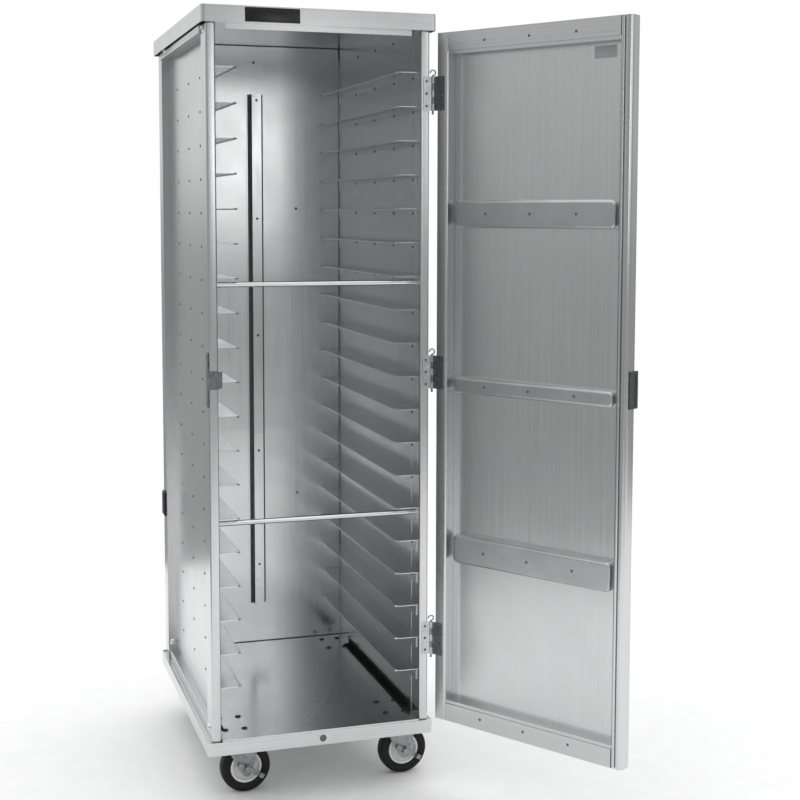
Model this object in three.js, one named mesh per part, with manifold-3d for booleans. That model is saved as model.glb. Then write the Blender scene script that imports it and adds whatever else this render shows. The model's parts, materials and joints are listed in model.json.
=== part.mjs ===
// Enclosed pan transport cabinet: a riveted sheet aluminium body on four swivel casters, with pan
// slides on both side walls and one door on lift-off pin hinges, standing open.
// Millimetres, +Z up. The origin lies on the floor, under the middle of the box round the whole cabinet.

import * as THREE from 'three';
import { mergeVertices } from 'three/addons/utils/BufferGeometryUtils.js';
import Module from 'manifold-3d';

const wasm = await Module();
wasm.setup();

// Clearances and sheet
const seat_gap = 0.3;
const running_gap = 0.4;
const weld_overlap = 0.4;
const cut_overrun = 2;
const panel_sheet = 1.6;

// Body
const cap_side_overhang = 1.5;
const cap_end_overhang = 6;
const cap_corner_radius = 8;
const cap_lip_height = 36.5;
const door_stop_drop = 12;
const door_stop_length = 418;
const body_height = 1643.5;
const base_width = 524;
const base_depth = 718;
const base_corner_radius = 8;
const base_lip_height = 30;
const base_lip_wall = 2.5;
const deck_sheet = 2;
const deck_recess = 3;
const floor_panel_rise = 7;
const floor_side_clearance = 0.3;

// Corner posts
const post_thickness = 21.5;
const post_depth = 57;
const post_wall = 2.2;
const post_corner_radius = 4.5;
const post_inset_side = 9.5;
const post_inset_end = 7;

// Rails along the foot and the head of each side, outside the wall sheet
const side_rail_wall = 2;
const side_rail_inset = 3.3;
const side_rail_radius = 3;
const side_rail_foot_height = 21;
const side_rail_head_height = 46.5;

// Pan slides
const slide_pitch = 76.2;
const slide_floor_clearance = 60;
const slide_ledge_width = 50;
const slide_leg_height = 25;
const slide_sheet = 1.5;
const slide_bead_radius = 1.9;
const slide_end_chamfer = 9;
const slide_top_drop = 125.7;
const slide_front_setback = 18;
const slide_rear_clearance = 2;

// Tie rods, pan stop and floor seals
const tie_rod_radius = 6;
const tie_rod_setback = 48;
const tie_rod_drop = 15.6;
const tie_rod_shares = [0.37, 0.74];
const stop_crown_width = 25;
const stop_flange_width = 11;
const stop_depth = 22;
const stop_sheet = 1.5;
const stop_end_overlap = 3.5;
const back_panel_inset = 5;
const seal_width = 15;
const seal_height = 15;
const seal_thickness = 3;
const seal_front_setback = 64;
const seal_rear_setback = 102;

// Bumper pads
const bumper_length = 65;
const bumper_width = 34;
const bumper_thickness = 6;
const bumper_chamfer = 4;
const bumper_height_share = 0.266;

// Door
const door_open_degrees = 122.5;
const door_free_inset = 2.1;
const door_thickness = 30;
const door_top_clearance = 4.6;
const door_bottom_clearance = 6;
const hinge_stile_width = 28;
const hinge_stile_radius = 5;
const latch_stile_bead = 9;
const latch_stile_groove = 4;
const latch_stile_nose = 13;
const latch_nose_radius = 12;
const stile_groove_depth = 2.5;
const stile_wall = 2.2;
const rail_height = 48;
const rail_inset = 1;
const rail_lip = 8;
const rail_lip_step = 3;
const channel_depth = 13;
const channel_sheet = 1.5;
const channel_bevel = 6;
const channel_corner_radius = 7;
const channel_side_clearance = 12;
const channel_upper_height = 61;
const channel_middle_height = 36;
const channel_lower_height = 65;
const channel_place_shares = [0.744, 0.4985, 0.258];

// Hinges
const hinge_names = ['top', 'middle', 'bottom'];
const hinge_place_shares = [0.915, 0.515, 0.12];
const hinge_height = 76;
const hinge_knuckles = 5;
const knuckle_radius = 4;
const hinge_pin_radius = 2.4;
const hinge_pin_clearance = 0.3;
const leaf_thickness = 1.5;
const leaf_gap = 0.6;
const leaf_post_width = 22;
const leaf_door_width = 31;
const hinge_axis_outboard = 6.5;
const door_edge_setback = 12;
const pin_head_rise = 3;
const pin_loop_radius = 6;
const pin_loop_wire = 1.6;
const pin_loop_turn_degrees = 279;
const pin_tail = 8;

// Latch and strike
const latch_height = 78;
const latch_place_share = 0.513;
const latch_width = 46;
const latch_plate = 3;
const latch_edge_cover = 21;
const latch_rise = 10;
const latch_frame_width = 5;
const latch_frame_depth = 1;
const latch_ear_thickness = 4;
const latch_ear_width = 13;
const latch_pin_radius = 1.6;
const latch_barrel_radius = 2.9;
const lever_thickness = 3;
const lever_grip_rise = 5;
const lever_grip_width = 8;
const strike_height = 41;
const strike_plate = 2.4;
const strike_lip = 7;
const strike_lip_depth = 14;
const strike_side_height = 120;
const strike_side_width = 18;
const strike_side_sheet = 1.6;

// Casters
const wheel_radius = 58;
const wheel_width = 32;
const hub_radius = 36.7;
const hub_web = 9;
const hub_boss_radius = 12;
const hub_rim_inner_radius = 31;
const rim_width_share = 0.8;
const tyre_shoulder_shares = [[0.62, 1], [0.9, 0.88], [1, 0.6]];
const axle_radius = 4.2;
const caster_trail = 30;
const caster_turn_degrees = 4;
const caster_side_inset = 72;
const caster_front_inset = 103;
const caster_rear_inset = 89;
const base_height = 127;
const fork_leg = 3;
const fork_leg_clearance = 2;
const fork_end_radius = 12;
const fork_end_drop = 8;
const fork_crown_front = 24;
const fork_crown_rear = 60;
const fork_leg_front = 22;
const fork_crown_clearance = 2.5;
const fork_crown_thickness = 4;
const raceway_radius = 33;
const raceway_height = 8.7;
const kingpin_radius = 6;
const caster_plate_width = 64;
const caster_plate_depth = 98;
const caster_plate_thickness = 3;
const nut_radius = 7.5;
const nut_height = 4.5;
const brake_boss_radius = 9;
const brake_arm_reach = 36;
const brake_arm_drop = 20;
const brake_arm_width = 10;
const brake_arm_thickness = 4;
const brake_tail_reach = 24;
const brake_pedal_depth = 12;

// Facets of the round shapes
const corner_steps = 4;
const wheel_sides = 32;
const small_sides = 16;
const nut_sides = 6;
const bevel_steps = 3;

// Heights and faces worked out from the sizes above
const cap_width = base_width + 2 * cap_side_overhang;
const cap_depth = base_depth + 2 * cap_end_overhang;
const base_bottom = base_height;
const base_rim_top = base_bottom + base_lip_height;
const deck_top = base_rim_top - deck_recess;
const deck_bottom = deck_top - deck_sheet;
const floor_top = deck_top + floor_panel_rise;
const cap_top = base_bottom + body_height;
const cap_lip_bottom = cap_top - cap_lip_height;
const ceiling = cap_top - panel_sheet;
const wall_bottom = deck_top + seat_gap;
const wall_height = ceiling - seat_gap - wall_bottom;
const base_front = -base_depth / 2;
const base_rear = base_depth / 2;
const post_outer_x = base_width / 2 - post_inset_side;
const post_inner_x = post_outer_x - post_thickness;
const post_front = base_front + post_inset_end;
const post_rear = base_rear - post_inset_end;
const slide_outer_x = post_inner_x - seat_gap;
const slide_inner_x = slide_outer_x - slide_sheet;
const panel_inner_x = slide_outer_x - weld_overlap;
const panel_front = post_front + post_depth + seat_gap;
const panel_rear = post_rear - post_depth - seat_gap;
const back_panel_inner = post_rear - back_panel_inset;
const slide_front = post_front + slide_front_setback;
const slide_rear = back_panel_inner - slide_rear_clearance;
const top_slide = cap_top - slide_top_drop;
const slide_top = (index) => top_slide - index * slide_pitch;
const slide_count = 1 + Math.floor((top_slide - floor_top - slide_floor_clearance) / slide_pitch);
const bottom_slide = slide_top(slide_count - 1);

// Faces and axes of the door, with the hinge axis at x = 0, y = 0 and the door closed
const hinge_axis_x = post_outer_x + hinge_axis_outboard;
const hinge_axis_y = post_front - seat_gap - leaf_thickness - leaf_gap / 2;
const door_inner_y = -leaf_gap / 2 - leaf_thickness - seat_gap;
const door_outer_y = door_inner_y - door_thickness;
const frame_outer_y = door_outer_y + panel_sheet + seat_gap;
const door_hinge_x = -door_edge_setback;
const door_free_x = door_free_inset - post_outer_x - hinge_axis_x;
const door_bottom = base_rim_top + door_bottom_clearance;
const door_height = cap_lip_bottom - door_top_clearance - door_bottom;
const door_place = (share) => door_bottom + share * door_height;
const latch_centre = door_place(latch_place_share);
const hinge_stile_x = door_hinge_x - hinge_stile_width;
const latch_stile_x = door_free_x + latch_stile_nose + latch_stile_groove + latch_stile_bead;

// Colours
const aluminium = { color: 0xb9bcbe, roughness: 0.38, metalness: 1 };
const bright_steel = { color: 0xa9abad, roughness: 0.3, metalness: 1 };
const zinc_steel = { color: 0x8f9294, roughness: 0.42, metalness: 1 };
const latch_grey = { color: 0x4a4c4e, roughness: 0.5, metalness: 0.6 };
const wheel_hub_grey = { color: 0xd4d5d6, roughness: 0.45, metalness: 0.2 };
const black_rubber = { color: 0x1b1b1c, roughness: 0.85, metalness: 0 };

// Solids and meshes
function toSolid(geometry) {
  const bare = geometry.clone();
  bare.deleteAttribute('normal');
  bare.deleteAttribute('uv');
  const merged = mergeVertices(bare);
  return new wasm.Manifold(new wasm.Mesh({
    numProp: 3,
    vertProperties: new Float32Array(merged.attributes.position.array),
    triVerts: new Uint32Array(merged.index.array),
  }));
}

function toGeometry(solid) {
  const data = solid.getMesh();
  const geometry = new THREE.BufferGeometry();
  geometry.setAttribute('position', new THREE.BufferAttribute(data.vertProperties, 3));
  geometry.setIndex(new THREE.BufferAttribute(data.triVerts, 1));
  return geometry;
}

function part(name, solid, look) {
  const mesh = new THREE.Mesh(toGeometry(solid), new THREE.MeshStandardMaterial(look));
  mesh.name = name;
  return mesh;
}

function join(solids) {
  return solids.reduce((whole, next) => whole.add(next));
}

// A box between two corners
function box(low, high) {
  const size = high.map((value, axis) => value - low[axis]);
  const geometry = new THREE.BoxGeometry(...size);
  geometry.translate(...low.map((value, axis) => value + size[axis] / 2));
  return toSolid(geometry);
}

// A shape in the XY plane, drawn upwards from the level given
function upright(shape, bottom, height) {
  const geometry = new THREE.ExtrudeGeometry(shape, {
    depth: height, bevelEnabled: false, curveSegments: corner_steps,
  });
  geometry.translate(0, 0, bottom);
  return toSolid(geometry);
}

// A shape whose x runs along X and y along Z, drawn along Y between two places
function alongY(shape, front, rear) {
  const geometry = new THREE.ExtrudeGeometry(shape, {
    depth: rear - front, bevelEnabled: false, curveSegments: corner_steps,
  });
  geometry.rotateX(Math.PI / 2);
  geometry.translate(0, rear, 0);
  return toSolid(geometry);
}

// A shape whose x runs along Y and y along Z, drawn along X between two places
function alongX(shape, left, right) {
  const geometry = new THREE.ExtrudeGeometry(shape, {
    depth: right - left, bevelEnabled: false, curveSegments: corner_steps,
  });
  geometry.rotateX(Math.PI / 2);
  geometry.rotateZ(Math.PI / 2);
  geometry.translate(left, 0, 0);
  return toSolid(geometry);
}

function polygon(points) {
  return new THREE.Shape(points.map(([x, y]) => new THREE.Vector2(x, y)));
}

// A rectangle with a radius for each corner: lower left, lower right, upper right, upper left
function roundedRectangle(left, bottom, right, top, radii) {
  const corners = [[left, bottom, 1, 1], [right, bottom, -1, 1], [right, top, -1, -1], [left, top, 1, -1]];
  const quarter = Math.PI / 2;
  const points = corners.flatMap(([x, y, inX, inY], index) => {
    const radius = radii[index];
    const steps = radius > 0 ? corner_steps : 0;
    return Array.from({ length: steps + 1 }, (_, step) => {
      const angle = (index + 2 + step / corner_steps) * quarter;
      return [x + radius * (inX + Math.cos(angle)), y + radius * (inY + Math.sin(angle))];
    });
  });
  return polygon(points);
}

function evenRectangle(width, depth, radius) {
  return roundedRectangle(-width / 2, -depth / 2, width / 2, depth / 2, [radius, radius, radius, radius]);
}

// A cylinder round the Z axis between two levels, with a flat facing -Y
function drum(radius, bottom, top, sides = small_sides) {
  const geometry = new THREE.CylinderGeometry(radius, radius, top - bottom, sides);
  geometry.rotateX(Math.PI / 2);
  geometry.rotateZ(Math.PI / sides);
  geometry.translate(0, 0, (top + bottom) / 2);
  return toSolid(geometry);
}

// A sheet tray, open below, standing on the level given
function tray(width, depth, bottom, height, wall, radius) {
  const inner = evenRectangle(width - 2 * wall, depth - 2 * wall, Math.max(radius - wall, wall / 2));
  return upright(evenRectangle(width, depth, radius), bottom, height)
    .subtract(upright(inner, bottom - cut_overrun, height - wall + cut_overrun));
}

// Top cap, whose front lip is folded in and down as a stop for the door, base and floor
function topCap() {
  const cap = tray(cap_width, cap_depth, cap_lip_bottom, cap_lip_height, panel_sheet, cap_corner_radius);
  const half = door_stop_length / 2;
  const lip_inner = -cap_depth / 2 + panel_sheet;
  const shelf = box([-half, lip_inner - weld_overlap, cap_lip_bottom],
    [half, post_front, cap_lip_bottom + panel_sheet]);
  const stop = box([-half, post_front - panel_sheet, cap_lip_bottom - door_stop_drop],
    [half, post_front, cap_lip_bottom + panel_sheet]);
  return join([cap, shelf, stop]);
}

function basePan() {
  const inner = evenRectangle(base_width - 2 * base_lip_wall, base_depth - 2 * base_lip_wall,
    base_corner_radius - base_lip_wall);
  return upright(evenRectangle(base_width, base_depth, base_corner_radius), base_bottom, base_lip_height)
    .subtract(upright(inner, deck_top, deck_recess + cut_overrun))
    .subtract(upright(inner, base_bottom - cut_overrun, deck_bottom - base_bottom + cut_overrun));
}

function floorPanel() {
  const side = panel_inner_x - floor_side_clearance;
  const front = base_front + base_lip_wall + seat_gap;
  const rear = back_panel_inner - seat_gap;
  const s = panel_sheet;
  return box([-side, front, wall_bottom], [side, rear, floor_top])
    .subtract(box([-side + s, front + s, wall_bottom - cut_overrun], [side - s, rear - s, floor_top - s]));
}

// Hollow corner post, its rounded corners facing the nearer end of the cabinet
function post(side, end) {
  const outer_end = end < 0 ? post_front : post_rear - post_depth;
  const r = post_corner_radius;
  const radii = end < 0 ? [r, r, 0, 0] : [0, 0, r, r];
  const left = side < 0 ? -post_outer_x : post_inner_x;
  const outer = roundedRectangle(left, outer_end, left + post_thickness, outer_end + post_depth, radii);
  const w = post_wall;
  const bore_radii = radii.map((radius) => Math.max(radius - w, 0));
  const bore = roundedRectangle(left + w, outer_end + w, left + post_thickness - w,
    outer_end + post_depth - w, bore_radii);
  return upright(outer, wall_bottom, wall_height)
    .subtract(upright(bore, wall_bottom - cut_overrun, wall_height + 2 * cut_overrun));
}

// Hollow rail outside the right wall sheet, between the posts
function sideRail(bottom, height) {
  const near = panel_inner_x + panel_sheet + seat_gap;
  const far = post_outer_x - side_rail_inset;
  const w = side_rail_wall;
  const r = side_rail_radius;
  const outer = roundedRectangle(near, bottom, far, bottom + height, [0, r, r, 0]);
  const bore = roundedRectangle(near + w, bottom + w, far - w, bottom + height - w, [0, r - w, r - w, 0]);
  return alongY(outer, panel_front, panel_rear)
    .subtract(alongY(bore, panel_front - cut_overrun, panel_rear + cut_overrun));
}

// One pan slide on the right wall: a leg down the wall and a ledge with a rounded edge
function slide(index) {
  const top = slide_top(index);
  const edge = slide_outer_x - slide_ledge_width;
  const shape = new THREE.Shape();
  shape.moveTo(slide_outer_x, top);
  shape.lineTo(slide_outer_x, top - slide_leg_height);
  shape.lineTo(slide_inner_x, top - slide_leg_height);
  shape.lineTo(slide_inner_x, top - slide_sheet);
  const r = slide_bead_radius;
  shape.lineTo(edge + 2 * r, top - slide_sheet);
  shape.absarc(edge + r, top - r, r, 0, -3 * Math.PI / 2, true);
  const bar = alongY(shape, slide_front, slide_rear);
  const corner = (end, inward) => polygon([[edge - cut_overrun, end], [edge + slide_end_chamfer, end],
    [edge - cut_overrun, end + inward * (slide_end_chamfer + cut_overrun)]]);
  const drop = slide_leg_height + 2 * cut_overrun;
  return bar.subtract(upright(corner(slide_front, 1), top + cut_overrun - drop, drop))
    .subtract(upright(corner(slide_rear, -1), top + cut_overrun - drop, drop));
}

function rightWall() {
  const sheet = box([panel_inner_x, panel_front, wall_bottom],
    [panel_inner_x + panel_sheet, panel_rear, wall_bottom + wall_height]);
  const slides = Array.from({ length: slide_count }, (_, index) => slide(index));
  return join([sheet, ...slides]);
}

function backPanel() {
  const side = post_inner_x - seat_gap;
  return box([-side, back_panel_inner, wall_bottom],
    [side, back_panel_inner + panel_sheet, wall_bottom + wall_height]);
}

// Hat section up the middle of the back wall, which stops the pans
function panStop() {
  const back = back_panel_inner - seat_gap;
  const front = back - stop_depth;
  const half = stop_crown_width / 2;
  const wide = half + stop_flange_width;
  const s = stop_sheet;
  const shape = polygon([[-wide, back], [-wide, back - s], [-half, back - s], [-half, front], [half, front],
    [half, back - s], [wide, back - s], [wide, back], [half - s, back], [half - s, front + s],
    [-half + s, front + s], [-half + s, back]]);
  const bottom = bottom_slide - stop_end_overlap;
  return upright(shape, bottom, top_slide - stop_end_overlap - bottom);
}

function tieRod(share) {
  const slide_number = Math.round(share * slide_count);
  const rod = new THREE.CylinderGeometry(tie_rod_radius, tie_rod_radius, 2 * (slide_inner_x - seat_gap),
    small_sides);
  rod.rotateZ(Math.PI / 2);
  rod.translate(0, post_front + tie_rod_setback, slide_top(slide_number - 1) - tie_rod_drop);
  return toSolid(rod);
}

// Rubber angle in the corner between the floor and the right wall
function floorSeal() {
  const wall = panel_inner_x - floor_side_clearance;
  const bottom = floor_top + seat_gap;
  const t = seal_thickness;
  const shape = polygon([[wall - seal_width, bottom], [wall, bottom], [wall, bottom + seal_height],
    [wall - t, bottom + seal_height], [wall - t, bottom + t], [wall - seal_width, bottom + t]]);
  return alongY(shape, post_front + seal_front_setback, back_panel_inner - seal_rear_setback);
}

// Rubber pad on the outer side of a rear post, with chamfered ends
function bumperPad(side) {
  const near = post_outer_x + seat_gap;
  const far = near + bumper_thickness;
  const half = bumper_length / 2;
  const c = bumper_chamfer;
  const middle = post_rear - post_depth / 2;
  const outline = [[near, -half], [far - c, -half], [far, -half + c], [far, half - c],
    [far - c, half], [near, half]];
  const shape = polygon(side < 0 ? outline.map(([x, z]) => [-x, z]).reverse() : outline);
  const pad = alongY(shape, middle - bumper_width / 2, middle + bumper_width / 2);
  return pad.translate([0, 0, base_bottom + bumper_height_share * body_height]);
}

// Strike on the front left post: a plate on its face, a lip into the doorway and a strap down its side
function latchStrike() {
  const face = post_front - seat_gap;
  const side = -post_outer_x - seat_gap;
  const inner = -post_inner_x + strike_plate / 2;
  const half = strike_height / 2;
  const lip_half = half - strike_plate;
  const front = face - strike_plate;
  const strap = side - strike_side_sheet;
  const strap_half = strike_side_height / 2;
  return join([
    box([strap, front, latch_centre - half], [inner, face, latch_centre + half]),
    box([inner - weld_overlap, front, latch_centre - lip_half],
      [inner + strike_lip, front + strike_lip_depth, latch_centre + lip_half]),
    box([strap, face - weld_overlap, latch_centre - strap_half],
      [side, face + strike_side_width, latch_centre + strap_half]),
  ]);
}

// One leaf of a hinge round an axis at x = 0, y = 0, with every second knuckle
function hingeLeaf(width, near, first) {
  const far = near + leaf_thickness;
  const pitch = hinge_height / hinge_knuckles;
  const reach = knuckle_radius + running_gap;
  const bottom = -hinge_height / 2;
  const plate = box([-width, near, bottom], [-reach, far, bottom + hinge_height]);
  const knuckles = [];
  for (let index = first; index < hinge_knuckles; index += 2) {
    const low = bottom + index * pitch + running_gap / 2;
    const high = low + pitch - running_gap;
    const inside = (knuckle_radius + hinge_pin_radius + hinge_pin_clearance) / 2;
    knuckles.push(drum(knuckle_radius, low, high));
    knuckles.push(box([-reach - weld_overlap, near, low], [-inside, far, high]));
  }
  return join([plate, ...knuckles])
    .subtract(drum(hinge_pin_radius + hinge_pin_clearance, bottom - cut_overrun, -bottom + cut_overrun));
}

// Lift-off pin with an open wire loop on top and a tail below
function hingePin() {
  const half = hinge_height / 2;
  const shank = drum(hinge_pin_radius, -half - pin_tail, half + pin_head_rise);
  const span = THREE.MathUtils.degToRad(pin_loop_turn_degrees);
  const start = -Math.PI / 2;
  const loop_height = half + pin_head_rise + pin_loop_radius - pin_loop_wire / 2;
  class Loop extends THREE.Curve {
    getPoint(t) {
      const angle = start + t * span;
      return new THREE.Vector3(pin_loop_radius * Math.cos(angle), 0,
        loop_height + pin_loop_radius * Math.sin(angle));
    }
  }
  const section = new THREE.Shape();
  section.absarc(0, 0, pin_loop_wire, 0, 2 * Math.PI, false);
  const wire = new THREE.ExtrudeGeometry(section, {
    steps: small_sides, curveSegments: corner_steps, bevelEnabled: false, extrudePath: new Loop(),
  });
  return shank.add(toSolid(wire));
}

// Extruded hinge stile: a hollow section, rounded where its face turns down to the panel
function hingeStile() {
  const r = hinge_stile_radius;
  const w = stile_wall;
  const outer = roundedRectangle(hinge_stile_x, frame_outer_y, door_hinge_x, door_inner_y, [0, 0, 0, r]);
  const bore = roundedRectangle(hinge_stile_x + w, frame_outer_y + w, door_hinge_x - w, door_inner_y - w,
    [0, 0, 0, r - w]);
  return upright(outer, door_bottom, door_height)
    .subtract(upright(bore, door_bottom - cut_overrun, door_height + 2 * cut_overrun));
}

// Extruded latch stile: a bead beside the panel, a groove and a rounded nose at the free edge
function latchStile() {
  const bead_end = latch_stile_x - latch_stile_bead;
  const nose_start = bead_end - latch_stile_groove;
  const half_bead = latch_stile_bead / 2;
  const shape = new THREE.Shape();
  shape.moveTo(latch_stile_x, frame_outer_y);
  shape.lineTo(latch_stile_x, door_inner_y - half_bead);
  shape.absarc(latch_stile_x - half_bead, door_inner_y - half_bead, half_bead, 0, Math.PI, false);
  shape.lineTo(bead_end, door_inner_y - half_bead - stile_groove_depth);
  shape.lineTo(nose_start, door_inner_y - half_bead - stile_groove_depth);
  shape.lineTo(nose_start, door_inner_y);
  shape.absarc(door_free_x + latch_nose_radius, door_inner_y - latch_nose_radius, latch_nose_radius,
    Math.PI / 2, Math.PI, false);
  shape.lineTo(door_free_x, frame_outer_y);
  const w = stile_wall;
  const deep = door_inner_y - half_bead - stile_groove_depth - w;
  const bore = polygon([[latch_stile_x - w, deep], [latch_stile_x - w, frame_outer_y + w],
    [door_free_x + w, frame_outer_y + w], [door_free_x + w, door_inner_y - latch_nose_radius],
    [door_free_x + latch_nose_radius, deep]]);
  return upright(shape, door_bottom, door_height)
    .subtract(upright(bore, door_bottom - cut_overrun, door_height + 2 * cut_overrun));
}

// Hollow rail between the stiles, with a stepped lip along its edge towards the panel
function rail(bottom, lip_side) {
  const face = door_inner_y - rail_inset;
  const top = bottom + rail_height;
  const step = face - rail_lip_step;
  const lip_top = lip_side < 0 ? bottom + rail_lip : top - rail_lip;
  const outline = lip_side < 0
    ? [[frame_outer_y, bottom], [step, bottom], [step, lip_top], [face, lip_top], [face, top],
      [frame_outer_y, top]]
    : [[frame_outer_y, bottom], [face, bottom], [face, lip_top], [step, lip_top], [step, top],
      [frame_outer_y, top]];
  const w = stile_wall;
  const bore = [[frame_outer_y + w, bottom + w], [step - w, bottom + w], [step - w, top - w],
    [frame_outer_y + w, top - w]];
  const left = latch_stile_x + seat_gap;
  const right = hinge_stile_x - seat_gap;
  return alongX(polygon(outline), left, right)
    .subtract(alongX(polygon(bore), left - cut_overrun, right + cut_overrun));
}

function doorSkin() {
  return box([door_free_x, door_outer_y, door_bottom],
    [door_hinge_x, door_outer_y + panel_sheet, door_bottom + door_height]);
}

// Pressed stiffener across the door panel, hollow towards the panel
function doorChannel(height, centre) {
  const left = latch_stile_x + channel_side_clearance;
  const right = hinge_stile_x - channel_side_clearance;
  const length = right - left;
  const b = channel_bevel;
  const face = evenRectangle(length - 2 * b, height - 2 * b, channel_corner_radius);
  const pressed = new THREE.ExtrudeGeometry(face, {
    depth: channel_depth, bevelEnabled: true, bevelThickness: b, bevelSize: b,
    bevelSegments: bevel_steps, curveSegments: corner_steps,
  });
  const s = channel_sheet;
  const hollow = evenRectangle(length - 2 * b - 2 * s, height - 2 * b - 2 * s, channel_corner_radius - s);
  const slab = evenRectangle(length + 2 * cut_overrun, height + 2 * cut_overrun, channel_corner_radius);
  const dish = toSolid(pressed).subtract(upright(slab, -b - cut_overrun, b + cut_overrun))
    .subtract(upright(hollow, -cut_overrun, channel_depth + b - s + cut_overrun));
  return dish.rotate([-90, 0, 0]).translate([(left + right) / 2, frame_outer_y, centre]);
}

// Latch: a housing on the outer face, a framed plate over the free edge and two ears for the pin
const latch_face = door_outer_y - seat_gap;
const latch_edge = door_free_x - seat_gap;
const latch_front = door_outer_y - latch_rise;
const latch_pin_x = latch_edge + latch_barrel_radius + running_gap + latch_pin_radius;
const latch_pin_y = latch_front + latch_barrel_radius + running_gap;

function latchBody() {
  const low = latch_centre - latch_height / 2;
  const high = latch_centre + latch_height / 2;
  const outside = latch_edge - latch_plate;
  const f = latch_frame_width;
  const edge_rear = door_outer_y + latch_edge_cover;
  const ear = (bottom) => box([outside, latch_front, bottom],
    [latch_edge + latch_ear_width, latch_face, bottom + latch_ear_thickness]);
  const edge_plate = box([outside, latch_front, low], [latch_edge, edge_rear, high])
    .subtract(box([outside - cut_overrun, latch_front + f, low + f],
      [outside + latch_frame_depth, edge_rear - f, high - f]));
  const back_plate = box([outside, latch_face - latch_plate, low],
    [latch_edge + latch_width, latch_face, high]);
  const bore = drum(latch_pin_radius + hinge_pin_clearance, low - cut_overrun, high + cut_overrun)
    .translate([latch_pin_x, latch_pin_y, 0]);
  return join([edge_plate, back_plate, ear(low), ear(high - latch_ear_thickness)]).subtract(bore);
}

// Pull lever round its own pin at x = 0, y = 0: a barrel, a paddle and a grip turned outwards
function latchLever() {
  const half = latch_height / 2 - latch_ear_thickness - running_gap;
  const reach = latch_edge + latch_width - latch_pin_x;
  const paddle = box([0, -lever_thickness / 2, -half], [reach, lever_thickness / 2, half]);
  const grip = box([reach - lever_grip_width, -lever_thickness / 2 - lever_grip_rise, -half],
    [reach, 0, half]);
  return join([drum(latch_barrel_radius, -half, half), paddle, grip])
    .subtract(drum(latch_pin_radius + hinge_pin_clearance, -half - cut_overrun, half + cut_overrun));
}

function leverPin() {
  const half = latch_height / 2;
  return drum(latch_pin_radius, -half, half);
}

// Casters, round the swivel axis at x = 0, y = 0, with the wheel trailing towards +X
const axle_height = wheel_radius;
const crown_bottom = 2 * wheel_radius + fork_crown_clearance;
const crown_top = crown_bottom + fork_crown_thickness;
const leg_inner = wheel_width / 2 + fork_leg_clearance;
const leg_outer = leg_inner + fork_leg;
const plate_top = deck_bottom - seat_gap;
const plate_bottom = plate_top - caster_plate_thickness;
const raceway_bottom = plate_bottom - raceway_height;
const swivel_top = raceway_bottom - running_gap;

function casterPlate() {
  const plate = box([-caster_plate_width / 2, -caster_plate_depth / 2, plate_bottom],
    [caster_plate_width / 2, caster_plate_depth / 2, plate_top]);
  return plate.add(drum(raceway_radius, raceway_bottom, plate_bottom + weld_overlap, 2 * small_sides))
    .subtract(drum(kingpin_radius + running_gap, raceway_bottom - cut_overrun, plate_top + cut_overrun));
}

// A cylinder along Y, centred on the axle
function axleDrum(radius, front, rear, sides = small_sides) {
  const geometry = new THREE.CylinderGeometry(radius, radius, rear - front, sides);
  geometry.translate(0, (front + rear) / 2, 0);
  return toSolid(geometry).translate([caster_trail, 0, axle_height]);
}

// The angle round a circle at which a line from a point touches it, on one side or the other
function touchAngle(point, centre, radius, side) {
  const [across, up] = point.map((value, axis) => value - centre[axis]);
  return Math.atan2(up, across) + side * Math.acos(radius / Math.hypot(across, up));
}

// Fork leg: wide under the crown, tapering to a rounded end a little below the axle
function forkLeg(front, rear) {
  const top = crown_bottom + weld_overlap;
  const end = [caster_trail, axle_height - fork_end_drop];
  const corners = [[fork_crown_rear, top], [-fork_leg_front, top]];
  const [last, first] = [-1, 1].map((side, index) => touchAngle(corners[index], end, fork_end_radius, side));
  const shape = new THREE.Shape();
  shape.moveTo(...corners[0]);
  shape.lineTo(...corners[1]);
  shape.absarc(...end, fork_end_radius, first, last, false);
  return alongY(shape, front, rear);
}

function fork(nut_front) {
  const nut = (front) => axleDrum(nut_radius, front, front + nut_height, nut_sides);
  return join([
    box([-fork_crown_front, -leg_outer, crown_bottom], [fork_crown_rear, leg_outer, crown_top]),
    forkLeg(-leg_outer, -leg_inner),
    forkLeg(leg_inner, leg_outer),
    drum(raceway_radius - running_gap, crown_top - weld_overlap, swivel_top, 2 * small_sides),
    drum(kingpin_radius, swivel_top - weld_overlap, plate_top - running_gap),
    axleDrum(axle_radius, nut_front + weld_overlap, leg_outer + weld_overlap),
    nut(nut_front),
    nut(leg_outer - weld_overlap),
  ]);
}

// A ring turned round the axle from half of its section, which is mirrored to the other side
function turned(half_section, turn) {
  const outline = [...half_section.map(([r, y]) => [r, -y]), ...half_section.slice().reverse()];
  const points = [...outline, outline[0]].map(([r, y]) => new THREE.Vector2(r, y));
  const geometry = new THREE.LatheGeometry(points, wheel_sides);
  geometry.rotateY(turn);
  return toSolid(geometry).translate([caster_trail, 0, axle_height]);
}

const half_side = Math.PI / wheel_sides;
const tread_radius = wheel_radius / Math.cos(half_side);

function tyre() {
  const half = wheel_width / 2;
  const depth = tread_radius - hub_radius;
  const inside = (hub_radius + seat_gap) / Math.cos(half_side);
  const shoulder = tyre_shoulder_shares.map(([out, wide]) => [hub_radius + out * depth, wide * half]);
  return turned([[inside, half * rim_width_share], ...shoulder], half_side);
}

function hub() {
  const half = wheel_width / 2;
  const boss = leg_inner - running_gap;
  const rim = half * rim_width_share;
  const bore = (axle_radius + running_gap) / Math.cos(half_side);
  return turned([[bore, boss], [hub_boss_radius, boss], [hub_boss_radius, hub_web / 2],
    [hub_rim_inner_radius, hub_web / 2], [hub_rim_inner_radius, rim], [hub_radius, rim]], half_side);
}

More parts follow.
